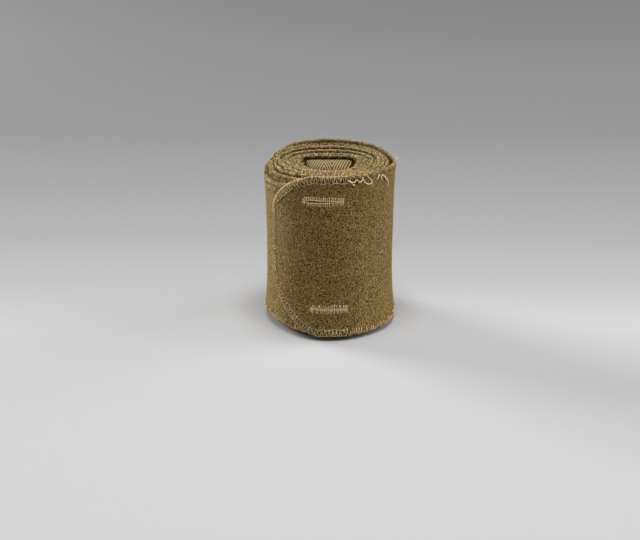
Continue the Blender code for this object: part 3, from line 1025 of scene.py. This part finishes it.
def smooth_line(points, steps):
    """A line through the points, with rounded bends where they are close together."""
    gaps = np.linalg.norm(np.diff(points, axis=0), axis=1)
    before = np.vstack([points[:1], points[:-1]])
    after = np.vstack([points[1:], points[-1:]])
    slopes = (after - before) / np.linalg.norm(after - before, axis=1)[:, None]
    line = []
    for k, gap in enumerate(gaps):
        count = max(2, int(gap / steps))
        share = np.linspace(0.0, 1.0, count, endpoint=False)[:, None]
        pull = min(gap, 3.0)
        first = points[k] + slopes[k] * pull / 3
        second = points[k + 1] - slopes[k + 1] * pull / 3
        line.append(
            (1 - share) ** 3 * points[k]
            + 3 * (1 - share) ** 2 * share * first
            + 3 * (1 - share) * share**2 * second
            + share**3 * points[k + 1]
        )
    return np.vstack(line + [points[-1:]])


def make_tie_tape(finish):
    line = tape_line()
    half_width, last = TAPE["width"] / 2, TAPE["layers"] - 1
    depth_step = (TAPE_BACK["depth"] - TAPE_FRONT["depth"]) / last
    real = np.stack([line[:, 0] * depth_step, line[:, 1]], axis=1)
    fine = smooth_line(real, TAPE_STEP)
    number = np.arange(len(fine))
    starts_down = np.argmax(fine[:, 0] >= real[:, 0].max() - 0.01)
    shows = (fine[:, 1] > TAPE_FINE_ABOVE) & (number <= starts_down)
    fine = fine[shows | (number % 8 == 0)]
    along = np.concatenate([[0.0], np.cumsum(np.linalg.norm(np.diff(fine, axis=0), axis=1))])
    ahead = np.gradient(fine, axis=0)
    ahead /= np.linalg.norm(ahead, axis=1)[:, None]

    def place(step, side):
        depth, height = fine[step, 0], fine[step, 1]
        front = 1.0 - depth / depth_step / last
        across = side * half_width
        ridge = herringbone(across, along[step])
        y = TAPE_FRONT["depth"] + depth - TAPE_FRONT["bulge"] * front * (1.0 - side**2)
        at_edge = np.exp(-(((np.abs(side) - 1.0) * half_width) ** 2) / 0.5)
        relief = 0.22 * (ridge - 0.5) * (1 - at_edge)
        near_top = np.clip((height - TAPE_FINE_ABOVE) / 4.0, 0.0, 1.0)
        height = height - TAPE_CORNER_DROP * np.abs(side) ** 5 * np.clip(front, 0.0, 1.0) * near_top
        x = TAPE["middle_x"] + across
        return np.stack([x, y - ahead[step, 1] * relief, height + ahead[step, 0] * relief], axis=1)

    mesh, step, side = carried_grid(np.arange(len(fine)), np.linspace(-1.0, 1.0, TAPE_ROWS), place)
    add_value(mesh, "ridge", herringbone(side * half_width, along[step]))
    add_flat_map(mesh, side * half_width, along[step])
    piece = finished("folded_tie_tape", mesh, finish)
    give_thickness(piece, TAPE["thickness"])
    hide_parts("tie_tape")
    return piece, float(along[-1])


# The picture


def make_camera():
    camera = bpy.data.cameras.new("Camera")
    camera.sensor_width = SENSOR_WIDTH
    camera.lens = SENSOR_WIDTH * FOCAL_PIXELS / PICTURE_WIDTH
    camera.shift_y = -OPTICAL_CENTRE_RISE / PICTURE_WIDTH
    camera.clip_start, camera.clip_end = 0.01, 20.0
    holder = placed("Camera", camera)
    holder.location = CAMERA_PLACE
    holder.rotation_euler = (radians(90 - CAMERA_PITCH), 0.0, 0.0)
    scene.camera = holder


# The floor is a sheet that sweeps up behind the roll. Its tone is painted light, falling off from the front
# to the back, with a lighter band just in front of the roll
SWEEP = {"half_width": 2.6, "front": -1.6, "bend": 0.9, "radius": 0.7, "height": 2.2}
SWEEP_PAINTED_LIGHT = (
    (-1.60, 0.380), (-0.21, 0.356), (-0.15, 0.351), (-0.10, 0.346), (-0.06, 0.359), (-0.02, 0.366),
    (0.05, 0.292), (0.13, 0.244), (0.25, 0.208), (0.40, 0.181), (0.61, 0.185), (0.84, 0.192), (1.15, 0.189),
    (1.60, 0.190),
)


def make_floor():
    """A pale sheet that lies flat under the roll and sweeps up far behind it."""
    bend, radius = SWEEP["bend"], SWEEP["radius"]
    angles = [pi / 2 * k / 12 for k in range(13)]
    curve = [(bend + radius * sin(angle), radius * (1 - cos(angle))) for angle in angles]
    profile = np.array([(SWEEP["front"], 0.0), *curve, (bend + radius, SWEEP["height"])])

    def place(column, row):
        y, z = profile[row].T
        return np.stack([column * SWEEP["half_width"], y, z], axis=1) / MM

    mesh = carried_grid(np.linspace(-1.0, 1.0, 3), np.arange(len(profile)), place)[0]
    mesh.shade_smooth()
    finish = Finish("Pale floor", 0.9)
    depth = finish.add("SeparateXYZ", {0: finish.add("TexCoord", output="Object")}, "Y")
    low, high = SWEEP_PAINTED_LIGHT[0][0], SWEEP_PAINTED_LIGHT[-1][0]
    share = (depth - low) / (high - low)
    # The floor's tone is painted light, lighter in front and darker towards the back.
    stops = [((y - low) / (high - low), (tone, tone, tone * 1.01)) for y, tone in SWEEP_PAINTED_LIGHT]
    finish.show(finish.ramp(share, stops))
    mesh.materials.append(finish.material)
    placed("Floor", mesh)


WORLD = {"Color": (1.0, 0.975, 0.94, 1.0), "Strength": 0.23}

# Each softbox: its place and size in metres, and its power in watts
LIGHTS = {
    "Left softbox": ((-2.00, 1.45, 0.65), 1.5, 195.0),
    "Right softbox": ((1.80, 0.30, 0.90), 1.2, 36.0),
    "Overhead softbox": ((0.03, -0.13, 1.00), 0.4, 10.2),
}
LIGHTS_AIM = (0.0, 0.0, 0.05)


def make_lights():
    for name, (place, size, watts) in LIGHTS.items():
        light = bpy.data.lights.new(name, "AREA")
        light.shape, light.size, light.energy = "SQUARE", size, watts
        holder = placed(name, light)
        holder.location = place
        holder.visible_camera = False
        aim = Vector(LIGHTS_AIM) - Vector(place)
        holder.rotation_euler = aim.to_track_quat("-Z", "Y").to_euler()
    world = bpy.data.worlds.new("Studio")
    world.use_nodes = True
    for name, value in WORLD.items():
        world.node_tree.nodes["Background"].inputs[name].default_value = value
    scene.world = world
    scene.view_settings.view_transform = "Standard"


def main():
    make_camera()
    make_floor()
    make_lights()
    wool = wool_crepe()
    yarn = spun_yarn("Wool yarn", (0.012, 0.007, 0.002), (0.600, 0.434, 0.184), 0.8, 0.44)
    overlock = spun_yarn("Overlock thread", (0.210, 0.138, 0.052), (0.860, 0.640, 0.330))
    cord = spun_yarn("Overlock edge cord", (0.340, 0.240, 0.110), (0.740, 0.560, 0.300))
    # Painted light: a lighter copy of the wool yarn for the loops along the outer base, which lies in shade.
    painted_light_base_yarn = spun_yarn("Edge yarn", (0.200, 0.125, 0.045), (0.900, 0.660, 0.330), 1.8)
    curled_yarn = spun_yarn("Curled yarn", (0.080, 0.050, 0.014), (0.700, 0.520, 0.230), 1.1)
    buttonhole = spun_yarn("Buttonhole thread", (0.560, 0.380, 0.205), (0.930, 0.700, 0.430))
    loose = spun_yarn("Loose thread", (0.700, 0.560, 0.360), (0.950, 0.800, 0.560))
    fibre = spun_yarn("Wool fibre", (0.180, 0.130, 0.055), (0.420, 0.330, 0.180))
    edge = end_edge()
    outer = make_outer_turn(wool, edge)
    inner = make_inner_turns(wool)
    outer_sewing = make_overlock(overlock, cord, edge) + make_buttonholes(buttonhole)
    outer_selvedges, inner_selvedges = make_selvedges(painted_light_base_yarn, yarn)
    curls = [make_rim_curls(yarn), make_face_curls(curled_yarn)]
    fuzz = make_wool_fuzz(fibre)
    threads = make_loose_threads(loose)
    tape, tape_length = make_tie_tape(cotton_herringbone())


main()
